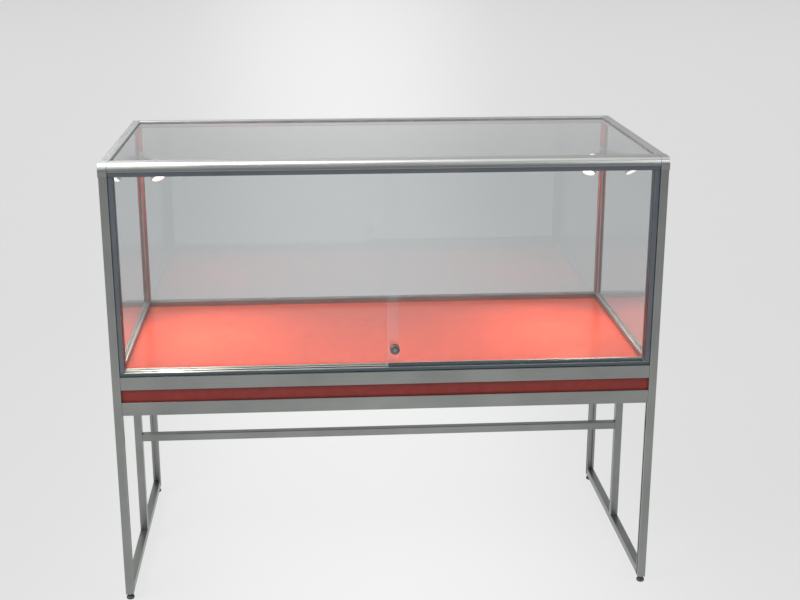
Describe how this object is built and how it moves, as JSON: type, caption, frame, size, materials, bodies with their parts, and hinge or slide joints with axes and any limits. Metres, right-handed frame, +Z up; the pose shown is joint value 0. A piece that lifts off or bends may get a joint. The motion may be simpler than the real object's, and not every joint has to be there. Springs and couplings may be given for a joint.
{
  "type": "display case",
  "caption": "Floor-standing glass display case on an open aluminium leg frame, with sliding front panes, a push lock, a red deck and small corner spots.",
  "frame": {"origin": "on the floor under the centre of the case", "axes": "+X to the right seen from the front, +Y towards the back, +Z up; the doors face -Y"},
  "size_m": [1.202, 0.59, 1.005],
  "materials": {
    "aluminium": "satin anodised extrusion",
    "door_profile": "darker satin anodised channel",
    "glass": "clear float glass with polished edges",
    "red_laminate": "glossy orange-red laminate on board",
    "red_panel": "dark red satin panel",
    "lock_metal": "dull plated metal",
    "spot_body": "satin turned and cast metal",
    "spot_lens": "frosted warm lens",
    "black_plastic": "moulded black plastic",
    "panel_grey": "plain grey panel"
  },
  "bodies": {
    "frame": {"post_front_left": "aluminium", "post_front_right": "aluminium", "post_back_left": "aluminium", "post_back_right": "aluminium", "floor_rail_left": "aluminium", "floor_rail_right": "aluminium", "mid_post_left": "aluminium", "mid_post_right": "aluminium", "stretcher_bar": "aluminium", "belt_rail_front": "aluminium", "belt_rail_back": "aluminium", "belt_rail_left": "aluminium", "belt_rail_right": "aluminium", "plinth_rail_front": "aluminium", "plinth_rail_back": "aluminium", "plinth_rail_left": "aluminium", "plinth_rail_right": "aluminium", "top_rail_front": "aluminium", "top_rail_back": "aluminium", "top_rail_left": "aluminium", "top_rail_right": "aluminium", "corner_block_left": "aluminium", "corner_block_right": "aluminium", "door_track_bottom": "door_profile", "door_track_top": "door_profile", "door_jamb_left": "door_profile", "door_jamb_right": "door_profile", "glass_top": "glass", "glass_back": "glass", "glass_left": "glass", "glass_right": "glass", "deck_board": "red_laminate", "fascia_front": "red_panel", "fascia_back": "red_panel", "fascia_left": "red_panel", "fascia_right": "red_panel", "spot_bracket_left": "spot_body", "spot_bracket_right": "spot_body", "lamp_driver": "black_plastic", "cable_gland": "black_plastic", "base_panel": "panel_grey"},
    "door_left": {"door_glass_left": "glass", "lock_keeper": "lock_metal"},
    "door_right": {"door_glass_right": "glass", "lock_housing": "lock_metal", "lock_nut": "lock_metal"},
    "lock_bolt": {"lock_plunger": "lock_metal"},
    "lock_barrel": {"lock_plug": "lock_metal"},
    "arm_left": {"spot_arm_left": "spot_body"},
    "arm_right": {"spot_arm_right": "spot_body"},
    "lamp_left": {"spot_head_left": "spot_body", "spot_lens_left": "spot_lens"},
    "lamp_right": {"spot_head_right": "spot_body", "spot_lens_right": "spot_lens"},
    "leveller_front_left": {"foot_front_left": "black_plastic"},
    "leveller_front_right": {"foot_front_right": "black_plastic"},
    "leveller_back_left": {"foot_back_left": "black_plastic"},
    "leveller_back_right": {"foot_back_right": "black_plastic"}
  },
  "joints": [
    {"name": "door_left_slide", "type": "slide", "parent": "frame", "child": "door_left", "axis": [1, 0, 0], "range_m": [0, 0.545]},
    {"name": "door_right_slide", "type": "slide", "parent": "frame", "child": "door_right", "axis": [-1, 0, 0], "range_m": [0, 0.57]},
    {"name": "lock_push", "type": "slide", "parent": "door_right", "child": "lock_bolt", "axis": [0, 1, 0], "range_m": [0, 0.0045], "stiffness_N_per_m": 200, "springref_m": -0.002},
    {"name": "lock_turn", "type": "hinge", "parent": "lock_bolt", "child": "lock_barrel", "pos_m": [0.015, -0.2845, 0.585], "axis": [0, 1, 0], "range_deg": [0, 90]},
    {"name": "spot_swivel_left", "type": "hinge", "parent": "frame", "child": "arm_left", "pos_m": [-0.57458, 0.26513, 0.912], "axis": [0, 0, 1], "range_deg": [-20, 30]},
    {"name": "spot_tilt_left", "type": "hinge", "parent": "arm_left", "child": "lamp_left", "pos_m": [-0.54809, 0.22273, 0.912], "axis": [0.848, 0.5299, 0], "range_deg": [-45, 35]},
    {"name": "spot_swivel_right", "type": "hinge", "parent": "frame", "child": "arm_right", "pos_m": [0.57458, 0.26513, 0.912], "axis": [0, 0, 1], "range_deg": [-30, 20]},
    {"name": "spot_tilt_right", "type": "hinge", "parent": "arm_right", "child": "lamp_right", "pos_m": [0.54809, 0.22273, 0.912], "axis": [0.848, -0.5299, 0], "range_deg": [-45, 35]},
    {"name": "foot_screw_front_left", "type": "slide", "parent": "frame", "child": "leveller_front_left", "axis": [0, 0, -1], "range_m": [0, 0.012]},
    {"name": "foot_screw_front_right", "type": "slide", "parent": "frame", "child": "leveller_front_right", "axis": [0, 0, -1], "range_m": [0, 0.012]},
    {"name": "foot_screw_back_left", "type": "slide", "parent": "frame", "child": "leveller_back_left", "axis": [0, 0, -1], "range_m": [0, 0.012]},
    {"name": "foot_screw_back_right", "type": "slide", "parent": "frame", "child": "leveller_back_right", "axis": [0, 0, -1], "range_m": [0, 0.012]}
  ]
}
